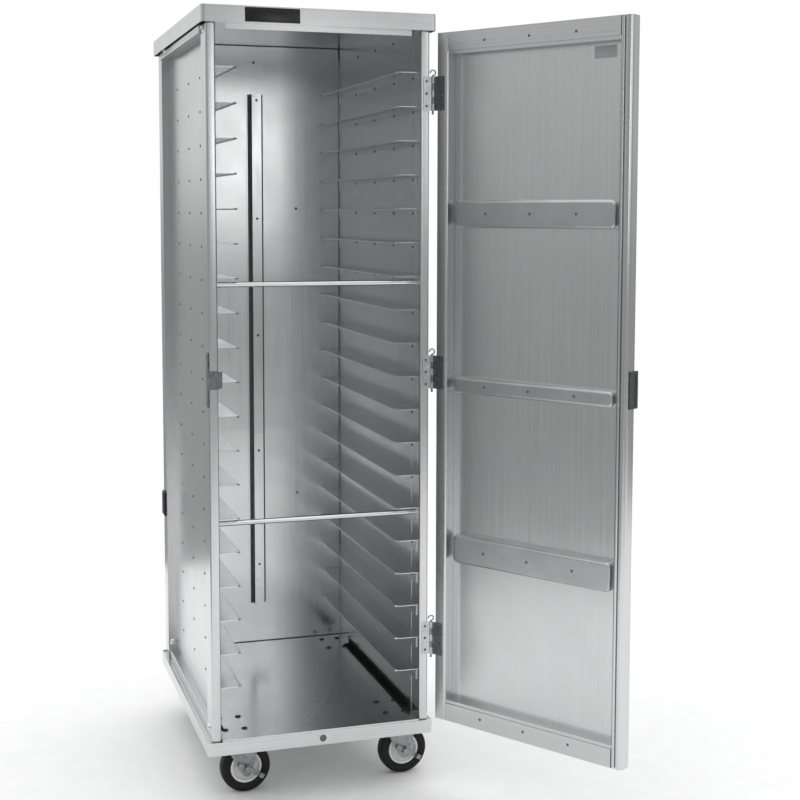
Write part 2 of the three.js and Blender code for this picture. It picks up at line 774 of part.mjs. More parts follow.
// Side brake lever across the front end of the axle, from a short tail down and out to a pedal
function brakeLever() {
  const rear = -leg_outer - running_gap;
  const front = rear - brake_arm_thickness;
  const angle = Math.atan2(-brake_arm_drop, brake_arm_reach);
  const reach = Math.hypot(brake_arm_reach, brake_arm_drop);
  const half = brake_arm_width / 2;
  const arm = box([-brake_tail_reach, front, -half], [reach, rear, half]);
  const pedal = box([reach - brake_arm_width, rear - brake_pedal_depth, -half], [reach, rear, half]);
  const degrees = THREE.MathUtils.radToDeg(-angle);
  const lever = arm.add(pedal).rotate([0, degrees, 0]).translate([caster_trail, 0, axle_height]);
  return lever.add(axleDrum(brake_boss_radius, front, rear))
    .subtract(axleDrum(axle_radius + running_gap, front - cut_overrun, rear + cut_overrun));
}

// Assembly, centred on the cabinet
const cabinet = new THREE.Group();
const right_wall = rightWall();
const foot_rail = sideRail(wall_bottom, side_rail_foot_height);
const head_rail = sideRail(ceiling - seat_gap - side_rail_head_height, side_rail_head_height);
const seal = floorSeal();
const mirrored = (solid) => solid.mirror([1, 0, 0]);
cabinet.add(
  part('top_cap', topCap(), aluminium),
  part('base_pan', basePan(), aluminium),
  part('floor_panel', floorPanel(), aluminium),
  part('right_wall_with_slides', right_wall, aluminium),
  part('left_wall_with_slides', mirrored(right_wall), aluminium),
  part('side_rail_foot_right', foot_rail, aluminium),
  part('side_rail_foot_left', mirrored(foot_rail), aluminium),
  part('side_rail_head_right', head_rail, aluminium),
  part('side_rail_head_left', mirrored(head_rail), aluminium),
  part('back_panel', backPanel(), aluminium),
  part('post_front_left', post(-1, -1), aluminium),
  part('post_front_right', post(1, -1), aluminium),
  part('post_rear_left', post(-1, 1), aluminium),
  part('post_rear_right', post(1, 1), aluminium),
  part('pan_stop', panStop(), aluminium),
  part('tie_rod_upper', tieRod(tie_rod_shares[0]), bright_steel),
  part('tie_rod_lower', tieRod(tie_rod_shares[1]), bright_steel),
  part('floor_seal_left', mirrored(seal), black_rubber),
  part('floor_seal_right', seal, black_rubber),
  part('bumper_pad_left', bumperPad(-1), black_rubber),
  part('bumper_pad_right', bumperPad(1), black_rubber),
  part('latch_strike', latchStrike(), zinc_steel),
);

// Hinges: the leaf on the post and the pin stay in line with the hinge axis
const hinge_line = new THREE.Group();
hinge_line.position.set(hinge_axis_x, hinge_axis_y, 0);
cabinet.add(hinge_line);
hinge_place_shares.forEach((share, index) => {
  const centre = door_place(share);
  const solid = hingeLeaf(leaf_post_width, leaf_gap / 2, 0);
  const leaf = part(`hinge_leaf_post_${hinge_names[index]}`, solid, bright_steel);
  const pin = part(`hinge_pin_${hinge_names[index]}`, hingePin(), bright_steel);
  leaf.position.z = centre;
  pin.position.z = centre;
  hinge_line.add(leaf, pin);
});

// Door, closed at no turn
const door = new THREE.Group();
door.rotation.z = THREE.MathUtils.degToRad(door_open_degrees);
hinge_line.add(door);
const channels = [
  doorChannel(channel_upper_height, door_place(channel_place_shares[0])),
  doorChannel(channel_middle_height, door_place(channel_place_shares[1])),
  doorChannel(channel_lower_height, door_place(channel_place_shares[2])),
];
door.add(
  part('door_skin', doorSkin(), aluminium),
  part('door_hinge_stile', hingeStile(), aluminium),
  part('door_latch_stile', latchStile(), aluminium),
  part('door_rail_top', rail(door_bottom + door_height - rail_height, -1), aluminium),
  part('door_rail_bottom', rail(door_bottom, 1), aluminium),
  part('door_channel_upper', channels[0], aluminium),
  part('door_channel_middle', channels[1], aluminium),
  part('door_channel_lower', channels[2], aluminium),
  part('latch_body', latchBody(), latch_grey),
);
hinge_place_shares.forEach((share, index) => {
  const solid = hingeLeaf(leaf_door_width, -leaf_gap / 2 - leaf_thickness, 1);
  const leaf = part(`hinge_leaf_door_${hinge_names[index]}`, solid, bright_steel);
  leaf.position.z = door_place(share);
  door.add(leaf);
});
const latch_pivot = new THREE.Group();
latch_pivot.position.set(latch_pin_x, latch_pin_y, latch_centre);
latch_pivot.add(
  part('latch_lever', latchLever(), latch_grey),
  part('latch_lever_pin', leverPin(), bright_steel),
);
door.add(latch_pivot);

// Four swivel casters, the front pair with side brakes
const caster_x = base_width / 2 - caster_side_inset;
const caster_front_y = base_front + caster_front_inset;
const caster_rear_y = base_rear - caster_rear_inset;
const casters = [
  { name: 'front_left', x: -caster_x, y: caster_front_y, braked: true },
  { name: 'front_right', x: caster_x, y: caster_front_y, braked: true },
  { name: 'rear_left', x: -caster_x, y: caster_rear_y, braked: false },
  { name: 'rear_right', x: caster_x, y: caster_rear_y, braked: false },
];
const plain_nut = -leg_outer + weld_overlap - nut_height;
const braked_nut = -leg_outer - 2 * running_gap - brake_arm_thickness - nut_height;
casters.forEach(({ name, x, y, braked }) => {
  const mount = new THREE.Group();
  mount.position.set(x, y, 0);
  mount.add(part(`caster_plate_${name}`, casterPlate(), zinc_steel));
  const swivel = new THREE.Group();
  swivel.rotation.z = THREE.MathUtils.degToRad(caster_turn_degrees);
  swivel.add(
    part(`caster_fork_${name}`, fork(braked ? braked_nut : plain_nut), zinc_steel),
    part(`caster_tyre_${name}`, tyre(), black_rubber),
    part(`caster_hub_${name}`, hub(), wheel_hub_grey),
  );
  if (braked) {
    swivel.add(part(`brake_lever_${name}`, brakeLever(), zinc_steel));
  }
  mount.add(swivel);
  cabinet.add(mount);
});

// The whole cabinet, moved so that the origin is under the middle of the box round it
const whole = new THREE.Group();
whole.add(cabinet);
whole.updateMatrixWorld(true);
const bounds = new THREE.Box3().setFromObject(whole, true);
cabinet.position.set(-(bounds.min.x + bounds.max.x) / 2, -(bounds.min.y + bounds.max.y) / 2, -bounds.min.z);
whole.updateMatrixWorld(true);

export default whole;
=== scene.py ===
import json
import math

import bpy
from mathutils import Matrix, Vector

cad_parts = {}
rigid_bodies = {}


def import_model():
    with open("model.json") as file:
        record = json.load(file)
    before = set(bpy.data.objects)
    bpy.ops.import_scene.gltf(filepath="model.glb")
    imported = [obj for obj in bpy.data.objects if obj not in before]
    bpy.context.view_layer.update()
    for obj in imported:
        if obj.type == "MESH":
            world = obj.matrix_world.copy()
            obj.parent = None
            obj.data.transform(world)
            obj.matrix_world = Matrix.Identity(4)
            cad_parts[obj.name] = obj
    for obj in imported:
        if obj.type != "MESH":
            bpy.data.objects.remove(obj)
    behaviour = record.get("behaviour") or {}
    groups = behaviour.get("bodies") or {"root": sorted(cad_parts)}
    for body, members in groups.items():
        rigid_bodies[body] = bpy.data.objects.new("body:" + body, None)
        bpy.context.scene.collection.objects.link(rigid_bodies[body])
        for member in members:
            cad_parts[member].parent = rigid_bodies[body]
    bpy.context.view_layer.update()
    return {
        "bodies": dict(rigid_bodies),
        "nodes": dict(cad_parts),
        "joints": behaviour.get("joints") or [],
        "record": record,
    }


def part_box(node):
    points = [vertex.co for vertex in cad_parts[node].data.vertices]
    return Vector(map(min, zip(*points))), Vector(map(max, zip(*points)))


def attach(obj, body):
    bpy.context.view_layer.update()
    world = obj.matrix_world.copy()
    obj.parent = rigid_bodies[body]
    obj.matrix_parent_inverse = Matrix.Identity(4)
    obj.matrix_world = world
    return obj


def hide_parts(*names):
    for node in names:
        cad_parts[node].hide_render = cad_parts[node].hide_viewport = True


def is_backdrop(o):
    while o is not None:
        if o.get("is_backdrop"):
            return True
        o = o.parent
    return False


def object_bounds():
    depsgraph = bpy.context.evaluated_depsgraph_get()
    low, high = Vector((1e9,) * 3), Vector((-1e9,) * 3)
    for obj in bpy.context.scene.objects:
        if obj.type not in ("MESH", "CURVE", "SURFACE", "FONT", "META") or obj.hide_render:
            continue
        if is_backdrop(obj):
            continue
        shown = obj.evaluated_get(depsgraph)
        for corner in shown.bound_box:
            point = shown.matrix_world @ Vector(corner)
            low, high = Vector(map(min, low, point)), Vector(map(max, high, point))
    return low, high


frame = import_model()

# Places and sizes in millimetres. The cabinet's own frame stands on the floor under the middle of its
# body, with the doorway towards -Y; the door's has the hinge axis at zero and the door along -X.
MM = 0.001
SIDES = (-1, 1)
DOOR_TURN = 122.5
CASTER_TURN = 4
CASTER_NAMES = ("front_left", "front_right", "rear_left", "rear_right")
HINGES = ("top", "middle", "bottom")

CAMERA_SPOT = (-786, -3408, 1332)
CAMERA_YAW, CAMERA_PITCH, CAMERA_ROLL = 17.60, 4.97, 0.10
CAMERA_LENS, CAMERA_SENSOR, CAMERA_SHIFT = 64.125, 36, -0.08

# Posts and rails: bolts by depth and height, except the rear post's by breadth and height.
POST_FACE, REAR_POST_FRONT = 252.5, 295
FRONT_POST_BOLTS, HEAD_RAIL_BOLT, REAR_POST_BOLT = ((-323, 183), (-323, 1724)), (204, 1733), (241.5, 196)
RAIL_OUTSIDE, EAVE_OUTSIDE, EAVE_REACH = 249.4, 257, 294.4
EAVE_TRIM, EAVE_FLANGE, EAVE_FLANGE_WIDTH = (1724.5, 1746), (1717, 1725), 2.5

# Walls, slides, back and pan stop.
WALL_INSIDE, WALL_OUTSIDE = 230.3, 231.9
LEG_FACE = 229.2
SLIDE_TOP, SLIDE_PITCH, SLIDES = 1644.8, 76.2, 19
SLIDE_RIVETS = (-303, -157, 3, 170)
SLIDE_RIVET_DROP = 11
HEAD_RAIL_RIVETS = (-150, 0, 158)
HEAD_RAIL_RIVET_HEIGHT = 1727
BACK_FACE, BACK_OUTSIDE = 347, 348.6
BACK_RIVETS = ((-3, 1725), (110.6, 1341), (110, 567))
STOP_FACE, STOP_BACK, STOP_RUN = 324.7, 346.7, (269.7, 1641.3)
STOP_FLANGE = (12.7, 20.5)
STOP_RIVETS = tuple(1625 - 311 * step for step in range(5))

# Floor, base and cap.
FLOOR_TOP, CEILING = 161, 1768.6
CASTER_COLUMNS, CASTER_ROWS, CASTER_BOLTS = (-190, 190), (-256, 270), (22, 39)
CAP_FRONT, CAP_LIP = -365, (1734, 1770.5)
NAMEPLATE_SPAN, NAMEPLATE_HALF_HEIGHT, NAMEPLATE_THICKNESS = (-169, -48), 15.5, 1
BASE_FRONT, BASE_PLUG_HEIGHT = -359, 142

# Door, hinges and latch. A hinge's rivets are measured from its middle.
DOOR_PANEL, DOOR_OUTSIDE = -30.5, -32.1
DOOR_RIVETS = (-140, -258, -376)
CHANNEL_FACE = -11.2
CHANNELS = (1328.4, 943.85, 567.1)
RAILS = (187, 1705.4)
RAIL_FACE = -3.1
LABEL_SPAN, LABEL_HEIGHTS, LABEL_THICKNESS = (-458, -404), (1649, 1675), 0.15
POST_LEAF_LINE, POST_LEAF_FACE, POST_LEAF_RIVETS = 244.5, -353.8, (-27.5, 0, 27.5)
DOOR_LEAF_FACE, DOOR_LEAF_RIVETS = -0.3, ((-14, -27.5), (-23, -9), (-14, 9), (-23, 27.5))
LATCH_HEIGHT = 966.56
STRIKE_FACE, STRIKE_LINE, STRIKE_SCREWS = -254.4, -343, (-50, 50)
WHEEL_RADIUS, AXLE_REACH = 58, 30

low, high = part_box("top_cap")
cabinet_middle = Vector(((low.x + high.x) / 2, (low.y + high.y) / 2, 0))
low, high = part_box("hinge_pin_top")
hinge_line = Vector(((low.x + high.x) / 2, (low.y + high.y) / 2, 0))
in_cabinet = Matrix.Translation(cabinet_middle) @ Matrix.Scale(MM, 4)
in_door = (Matrix.Translation(hinge_line) @ Matrix.Rotation(math.radians(DOOR_TURN), 4, "Z")
           @ Matrix.Scale(MM, 4))


def in_caster(name):
    """The frame of one caster: its swivel axis at zero, its wheel trailing along +X."""
    low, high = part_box(f"caster_plate_{name}")
    middle = Vector(((low.x + high.x) / 2, (low.y + high.y) / 2, 0))
    return (Matrix.Translation(middle) @ Matrix.Rotation(math.radians(CASTER_TURN), 4, "Z")
            @ Matrix.Scale(MM, 4))


# ---- Camera and studio

def camera():
    """The photograph's place and angle, worked out from the corners of the cap, base, slides and door."""
    yaw, pitch, roll = (math.radians(angle) for angle in (CAMERA_YAW, CAMERA_PITCH, CAMERA_ROLL))
    forward = Vector((math.sin(yaw) * math.cos(pitch), math.cos(yaw) * math.cos(pitch), -math.sin(pitch)))
    level = Vector((math.cos(yaw), -math.sin(yaw), 0))
    upward = level.cross(forward)
    right = level * math.cos(roll) + upward * math.sin(roll)
    up = upward * math.cos(roll) - level * math.sin(roll)
    data = bpy.data.cameras.new("camera")
    data.lens, data.sensor_width, data.shift_y = CAMERA_LENS, CAMERA_SENSOR, CAMERA_SHIFT
    made = bpy.data.objects.new("camera", data)
    turn = Matrix((right, up, -forward)).transposed().to_4x4()
    made.matrix_world = Matrix.Translation(in_cabinet @ Vector(CAMERA_SPOT)) @ turn
    bpy.context.scene.collection.objects.link(made)
    bpy.context.scene.camera = made


def softbox(name, spot, aim, width, height, power):
    """A large even lamp, placed in metres and lit in watts, which the camera doesn't see."""
    data = bpy.data.lights.new(name, "AREA")
    data.shape, data.size, data.size_y, data.energy = "RECTANGLE", width, height, power
    made = bpy.data.objects.new(name, data)
    made.location = spot
    made.rotation_euler = (Vector(aim) - Vector(spot)).to_track_quat("-Z", "Y").to_euler()
    made.visible_camera = False
    bpy.context.scene.collection.objects.link(made)


def linear(hex_colour):
    """An sRGB hex colour as linear red, green, blue and alpha."""
    values = [int(hex_colour[at:at + 2], 16) / 255 for at in (1, 3, 5)]
    return [v / 12.92 if v <= 0.04045 else ((v + 0.055) / 1.055) ** 2.4 for v in values] + [1]


def add(tree, kind, sockets=(), **settings):
    """Adds a node: its settings, and for each input socket a value or another node's output."""
    made = tree.nodes.new(kind)
    for name, value in settings.items():
        setattr(made, name, value)
    for socket, value in dict(sockets).items():
        if isinstance(value, bpy.types.NodeSocket):
            tree.links.new(value, made.inputs[socket])
        else:
            made.inputs[socket].default_value = value
    return made


def studio():
    """A white studio: bright walls and ceiling over a white floor, and a dim band where the floor ends. The
    camera sees plain white all round the cabinet."""
    dim, bright, overhead = 0.34, 0.78, 0.9
    world = bpy.data.worlds.new("studio")
    world.use_nodes = True
    bpy.context.scene.world = world
    tree = world.node_tree
    tree.nodes.clear()
    way = add(tree, "ShaderNodeTexCoord").outputs["Generated"]
    parts = add(tree, "ShaderNodeSeparateXYZ", {0: way}).outputs
    walls = add(tree, "ShaderNodeMapRange", {"Value": parts["Y"], "From Min": -0.9, "From Max": 1.0,
                                             "To Min": dim, "To Max": bright})
    rise = add(tree, "ShaderNodeMapRange", {"Value": parts["Z"], "From Min": -0.05, "From Max": 0.06},
               interpolation_type="SMOOTHSTEP")
    level = add(tree, "ShaderNodeMapRange", {"Value": rise.outputs[0], "To Min": dim,
                                             "To Max": walls.outputs[0]})
    ceiling = add(tree, "ShaderNodeMapRange", {"Value": parts["Z"], "From Min": 0.12, "From Max": 0.9,
                                               "To Max": overhead}, interpolation_type="SMOOTHSTEP")
    sky = add(tree, "ShaderNodeMath", {0: level.outputs[0], 1: ceiling.outputs[0]}, operation="ADD")
    seen = add(tree, "ShaderNodeLightPath").outputs["Is Camera Ray"]
    shown = add(tree, "ShaderNodeMapRange", {"Value": seen, "To Min": sky.outputs[0], "To Max": 1.0})
    light = add(tree, "ShaderNodeBackground", {"Color": shown.outputs[0], "Strength": 1.0})
    add(tree, "ShaderNodeOutputWorld", {"Surface": light.outputs[0]})
    softbox("softbox_front", (0.54, -3.3, 1.65), (0.05, 0.2, 1.3), 0.56, 0.85, 3.0)
    softbox("softbox_right", (1.75, -3.1, 1.9), (0.1, 0.2, 1.3), 1.1, 1.1, 3.4)
    bpy.context.scene.view_settings.view_transform = "Standard"


def floor():
    """The white studio floor, which reaches furthest towards the camera and to its right."""
    left, right, front, back, level = -1.8, 4.0, -4.0, 2.1, -0.0003
    mesh = bpy.data.meshes.new("studio_floor")
    mesh.from_pydata([(x, y, level) for x, y in ((left, front), (right, front), (right, back), (left, back))],
                     [], [(0, 1, 2, 3)])
    mesh.materials.append(rolled_floor_paint())
    made = bpy.data.objects.new("studio_floor", mesh)
    bpy.context.scene.collection.objects.link(made)
    made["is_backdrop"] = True


# ---- Materials

def material(name, sockets=()):
    """An empty material, its node tree and its surface shader, with what is the same all over."""
    made = bpy.data.materials.new(name)
    made.use_nodes = True
    tree = made.node_tree
    tree.nodes.clear()
    shader = add(tree, "ShaderNodeBsdfPrincipled", sockets)
    add(tree, "ShaderNodeOutputMaterial", {"Surface": shader.outputs[0]})
    return made, tree, shader


def stretched(tree, sizes, turn=0):
    """The piece's own coordinates, turned about Z and divided by a pattern's size in mm along each axis."""
    own = add(tree, "ShaderNodeTexCoord").outputs["Object"]
    aligned = add(tree, "ShaderNodeMapping", {"Vector": own, "Rotation": (0, 0, math.radians(-turn))})
    return add(tree, "ShaderNodeMapping", {"Vector": aligned.outputs[0],
                                           "Scale": [1 / (size * MM) for size in sizes]}).outputs[0]


def mottle(tree, sizes, low, high, turn=0, detail=3.0):
    """Noise of the given size in mm, stretched to run from 0 at its low level to 1 at its high level."""
    noise = add(tree, "ShaderNodeTexNoise", {"Vector": stretched(tree, sizes, turn), "Scale": 1.0,
                                             "Detail": detail, "Roughness": 0.55})
    return add(tree, "ShaderNodeMapRange", {"Value": noise.outputs["Fac"], "From Min": low,
                                            "From Max": high}).outputs[0]


# The colour sockets of a Mix node by number, because its number and vector sockets have the same names.
MIX_SHARE, MIX_START, MIX_END, MIX_RESULT = 0, 6, 7, 2


def tone(tree, shader, share, start, end):
    """Base colour that goes from one hex tone to another with a share."""
    mixed = add(tree, "ShaderNodeMix", {MIX_SHARE: share, MIX_START: linear(start), MIX_END: linear(end)},
                data_type="RGBA")
    tree.links.new(mixed.outputs[MIX_RESULT], shader.inputs["Base Color"])


def gloss(tree, shader, *layers):
    """Roughness, the sum of layers of (share, start, end)."""
    total = None
    for share, start, end in layers:
        level = add(tree, "ShaderNodeMapRange", {"Value": share, "To Min": start, "To Max": end}).outputs[0]
        if total is not None:
            level = add(tree, "ShaderNodeMath", {0: total, 1: level}, operation="ADD").outputs[0]
        total = level
    tree.links.new(total, shader.inputs["Roughness"])


def relief(tree, shader, *layers):
    """Bump in layers of (height, depth in mm), the last on top."""
    normal = None
    for height, depth in layers:
        sockets = {"Height": height, "Distance": depth * MM, "Strength": 1.0}
        if normal is not None:
            sockets["Normal"] = normal
        normal = add(tree, "ShaderNodeBump", sockets).outputs[0]
    tree.links.new(normal, shader.inputs["Normal"])


UPRIGHT, LENGTHWISE, CROSSWISE = "upright", "lengthwise", "crosswise"
METAL = {"Metallic": 1.0}


def grain_sizes(run, across, along):
    """Size of a drawn-out grain along X, Y and Z for the way that it runs."""
    return {UPRIGHT: (across, across, along), LENGTHWISE: (across, along, across),
            CROSSWISE: (along, across, across)}[run]


def rolled_aluminium_sheet(run):
    """Mill-finish aluminium, cold rolled: a soft mirror with faint rolling lines and the slight waves of a
    riveted sheet. Rolling lines are about 0.2 mm apart and would not show, so they are drawn 2.5 mm wide."""
    made, tree, shader = material(f"rolled_aluminium_sheet_{run}", METAL)
    lines = mottle(tree, grain_sizes(run, 2.5, 400), 0.3, 0.7)
    marks = mottle(tree, (110, 110, 160), 0.35, 0.65)
    waves = mottle(tree, (190, 190, 300), 0.2, 0.8, detail=1.0)
    tone(tree, shader, lines, "#d3d5d6", "#dddede")
    gloss(tree, shader, (lines, 0.0, 0.03), (marks, 0.2, 0.24))
    relief(tree, shader, (waves, 0.16), (lines, 0.003))
    return made


def extruded_aluminium(run, turn=0):
    """Aluminium pushed through a die: fine straight die lines, drawn 1.2 mm wide so that they show, and a
    slightly tighter gloss than the sheet."""
    made, tree, shader = material(f"extruded_aluminium_{run}_{turn:g}", METAL)
    lines = mottle(tree, grain_sizes(run, 1.2, 900), 0.3, 0.7, turn)
    marks = mottle(tree, (40, 40, 160), 0.35, 0.65)
    tone(tree, shader, lines, "#ced0d1", "#dadbdb")
    gloss(tree, shader, (lines, 0.0, 0.03), (marks, 0.19, 0.23))
    relief(tree, shader, (lines, 0.004))
    return made


def pressed_aluminium():
    """Pressed and lightly etched aluminium stiffeners: duller and a little darker than the panel behind.
    Their rolling lines are drawn 2 mm wide so that they show."""
    made, tree, shader = material("pressed_aluminium", METAL)
    lines = mottle(tree, (160, 160, 2), 0.3, 0.7)
    marks = mottle(tree, (60, 60, 60), 0.35, 0.65)
    tone(tree, shader, marks, "#bcbebf", "#c4c6c7")
    gloss(tree, shader, (lines, 0.33, 0.4))
    relief(tree, shader, (lines, 0.006))
    return made


def stamped_stainless_steel(state, dull, bright):
    """Stamped stainless steel: small scratches from the press and from use, drawn 1.5 mm wide so that they
    show. It comes in a bright copy and a darker copy; the darker one is painted shade for the dark
    surroundings that the parts reflect."""
    made, tree, shader = material(f"stamped_stainless_steel_{state}", METAL)
    scratches = mottle(tree, (1.5, 1.5, 12), 0.35, 0.6)
    marks = mottle(tree, (14, 14, 14), 0.3, 0.7)
    tone(tree, shader, marks, dull, bright)
    gloss(tree, shader, (scratches, 0.22, 0.34))
    relief(tree, shader, (scratches, 0.008))
    return made


def drawn_steel_rod():
    """Bright drawn steel rod: a smooth round highlight with hairline draw marks along it, drawn 1.2 mm
    wide so that they show."""
    made, tree, shader = material("drawn_steel_rod", METAL)
    draws = mottle(tree, (180, 1.2, 1.2), 0.3, 0.7)
    tone(tree, shader, draws, "#d0d2d3", "#e0e1e1")
    gloss(tree, shader, (draws, 0.16, 0.26))
    return made


def zinc_plated_steel():
    """Zinc plated pressed steel: cloudy bluish grey, its gloss uneven with the clouds, and fine pits drawn
    1.6 mm wide so that they show."""
    made, tree, shader = material("zinc_plated_steel", METAL)
    clouds = mottle(tree, (9, 9, 9), 0.3, 0.7, detail=5.0)
    pits = mottle(tree, (1.6, 1.6, 1.6), 0.45, 0.75)
    tone(tree, shader, clouds, "#7f8386", "#a6a9aa")
    gloss(tree, shader, (clouds, 0.3, 0.46))
    relief(tree, shader, (pits, 0.03))
    return made


def cold_headed_aluminium():
    """Aluminium rivets, their heads formed cold: small domes, dulled by the tool. Their tone, darker than the
    sheet, is painted shade for the dark surroundings that the domes reflect.
    """
    made, tree, shader = material("cold_headed_aluminium", METAL)
    marks = mottle(tree, (2.5, 2.5, 2.5), 0.35, 0.65)
    # Painted shade: the dark tone stands for the shadows and dark surroundings that the domes reflect.
    tone(tree, shader, marks, "#626466", "#7b7d7f")
    gloss(tree, shader, (marks, 0.34, 0.48))
    return made


def heat_blackened_steel():
    """Steel bolts and screws blackened by heat: dark, with a dull sheen."""
    made, tree, shader = material("heat_blackened_steel", {"Metallic": 0.9})
    marks = mottle(tree, (3, 3, 3), 0.35, 0.65)
    tone(tree, shader, marks, "#3c3d3e", "#5a5b5c")
    gloss(tree, shader, (marks, 0.35, 0.5))
    return made


def painted_zinc_casting():
    """Die-cast zinc latch in dark grey paint: even satin with the slight orange peel of the spray."""
    made, tree, shader = material("painted_zinc_casting", {"Metallic": 0.35})
    peel = mottle(tree, (1.8, 1.8, 1.8), 0.3, 0.7)
    wear = mottle(tree, (16, 16, 16), 0.55, 0.7)
    tone(tree, shader, wear, "#4a4b4c", "#5a5b5c")
    gloss(tree, shader, (wear, 0.42, 0.52))
    relief(tree, shader, (peel, 0.02))
    return made


def moulded_polypropylene():
    """Moulded polypropylene wheel centres in pale grey: waxy, with faint flow marks."""
    made, tree, shader = material("moulded_polypropylene", {"IOR": 1.49})
    flow = mottle(tree, (7, 7, 7), 0.3, 0.7)
    tone(tree, shader, flow, "#e4e4e4", "#efefee")
    gloss(tree, shader, (flow, 0.34, 0.46))
    relief(tree, shader, (flow, 0.02))
    return made


def moulded_rubber():
    """Moulded black rubber tyres: matt, a little dusty grey where they have run."""
    made, tree, shader = material("moulded_rubber", {"IOR": 1.52, "Specular IOR Level": 0.3})
    dust = mottle(tree, (6, 6, 6), 0.4, 0.75, detail=5.0)
    skin = mottle(tree, (0.9, 0.9, 0.9), 0.3, 0.7)
    tone(tree, shader, dust, "#0d0d0e", "#171718")
    gloss(tree, shader, (dust, 0.5, 0.7))
    relief(tree, shader, (skin, 0.03))
    return made


def extruded_rubber():
    """Extruded black rubber strip and pads: matt, with faint lines along the strip."""
    made, tree, shader = material("extruded_rubber", {"IOR": 1.52})
    lines = mottle(tree, (1.5, 90, 1.5), 0.3, 0.7)
    tone(tree, shader, lines, "#121213", "#1f1f20")
    gloss(tree, shader, (lines, 0.5, 0.68))
    relief(tree, shader, (lines, 0.03))
    return made


def stoved_black_enamel():
    """Black stoved enamel on the bare plate: deep gloss with the slightest unevenness."""
    made, tree, shader = material("stoved_black_enamel", {"IOR": 1.5})
    flow = mottle(tree, (8, 8, 8), 0.3, 0.7)
    tone(tree, shader, flow, "#0b0b0c", "#131314")
    gloss(tree, shader, (flow, 0.24, 0.32))
    relief(tree, shader, (flow, 0.01))
    return made


def metallised_polyester():
    """Metallised polyester film of the bare label: satin silver."""
    made, tree, shader = material("metallised_polyester", {"Metallic": 0.6})
    film = mottle(tree, (5, 5, 5), 0.3, 0.7)
    tone(tree, shader, film, "#a9aaab", "#b4b5b6")
    gloss(tree, shader, (film, 0.36, 0.44))
    return made


def moulded_nylon():
    """Moulded grey nylon of the hole plug: smooth and semi-matt."""
    made, tree, shader = material("moulded_nylon", {"IOR": 1.53})
    flow = mottle(tree, (3, 3, 3), 0.3, 0.7)
    tone(tree, shader, flow, "#58595b", "#646567")
    gloss(tree, shader, (flow, 0.4, 0.5))
    return made


def painted_shade_beads():
    """Grey beads of painted shade, for the shadow in the back corners and on the pan stop's flanges: satin,
    slightly uneven along the bead.
    """
    made, tree, shader = material("painted_shade_beads")
    bead_unevenness = mottle(tree, (5, 5, 22), 0.3, 0.7)
    tone(tree, shader, bead_unevenness, "#5e6061", "#727475")
    gloss(tree, shader, (bead_unevenness, 0.4, 0.55))
    relief(tree, shader, (bead_unevenness, 0.05))
    return made


def rolled_floor_paint():
    """Matt white floor paint, rolled on: even, without gloss."""
    made, tree, shader = material("rolled_floor_paint", {"Specular IOR Level": 0.2})
    roll = mottle(tree, (60, 60, 60), 0.3, 0.7)
    tone(tree, shader, roll, "#f2f2f2", "#f6f6f6")
    gloss(tree, shader, (roll, 0.85, 0.95))
    return made


# ---- Making meshes

def turned(profile, sides, place, closed=False):
    """Corners and faces of an outline of (radius, height) turned about Z, placed by a matrix."""
    corners, faces, rings = [], [], []
    for radius, height in profile:
        if radius == 0:
            rings.append([len(corners)])
            corners.append(place @ Vector((0, 0, height)))
            continue
        rings.append(list(range(len(corners), len(corners) + sides)))
        for side in range(sides):
            angle = 2 * math.pi * side / sides
            corners.append(place @ Vector((radius * math.cos(angle), radius * math.sin(angle), height)))
    pairs = list(zip(rings, rings[1:])) + ([(rings[-1], rings[0])] if closed else [])
    for lower, upper in pairs:
        for side in range(sides):
            following = (side + 1) % sides
            face = [lower[side % len(lower)], lower[following % len(lower)],
                    upper[following % len(upper)], upper[side % len(upper)]]
            faces.append([corner for at, corner in enumerate(face) if corner not in face[:at]])
    return corners, faces


def boxed(start, end, place):
    """Corners and faces of a box between two corners, placed by a matrix."""
    corners = [place @ Vector((x, y, z)) for z in (start[2], end[2]) for y in (start[1], end[1])
               for x in (start[0], end[0])]
    faces = [[0, 2, 3, 1], [4, 5, 7, 6], [0, 1, 5, 4], [2, 6, 7, 3], [0, 4, 6, 2], [1, 3, 7, 5]]
    return corners, faces


def piece(name, shapes, look, body, edge=0.0, replaces=()):
    """One mesh from several shapes, with rounded edges if asked, riding on a body."""
    corners, faces = [], []
    for more_corners, more_faces in shapes:
        start = len(corners)
        corners += more_corners
        faces += [[start + corner for corner in face] for face in more_faces]
    mesh = bpy.data.meshes.new(name)
    mesh.from_pydata([tuple(corner) for corner in corners], [], faces)
    mesh.validate()
    mesh.shade_smooth()
    made = bpy.data.objects.new(name, mesh)
    bpy.context.scene.collection.objects.link(made)
    mesh.materials.append(look)
    if edge:
        bevel = made.modifiers.new("rounded_edges", "BEVEL")
        bevel.width, bevel.segments, bevel.angle_limit = edge * MM, 3, math.radians(40)
        bevel.limit_method = "ANGLE"
    made.modifiers.new("smooth_shading", "NODES").node_group = smooth_shading
    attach(made, body)
    if replaces:
        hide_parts(*replaces)
    return made


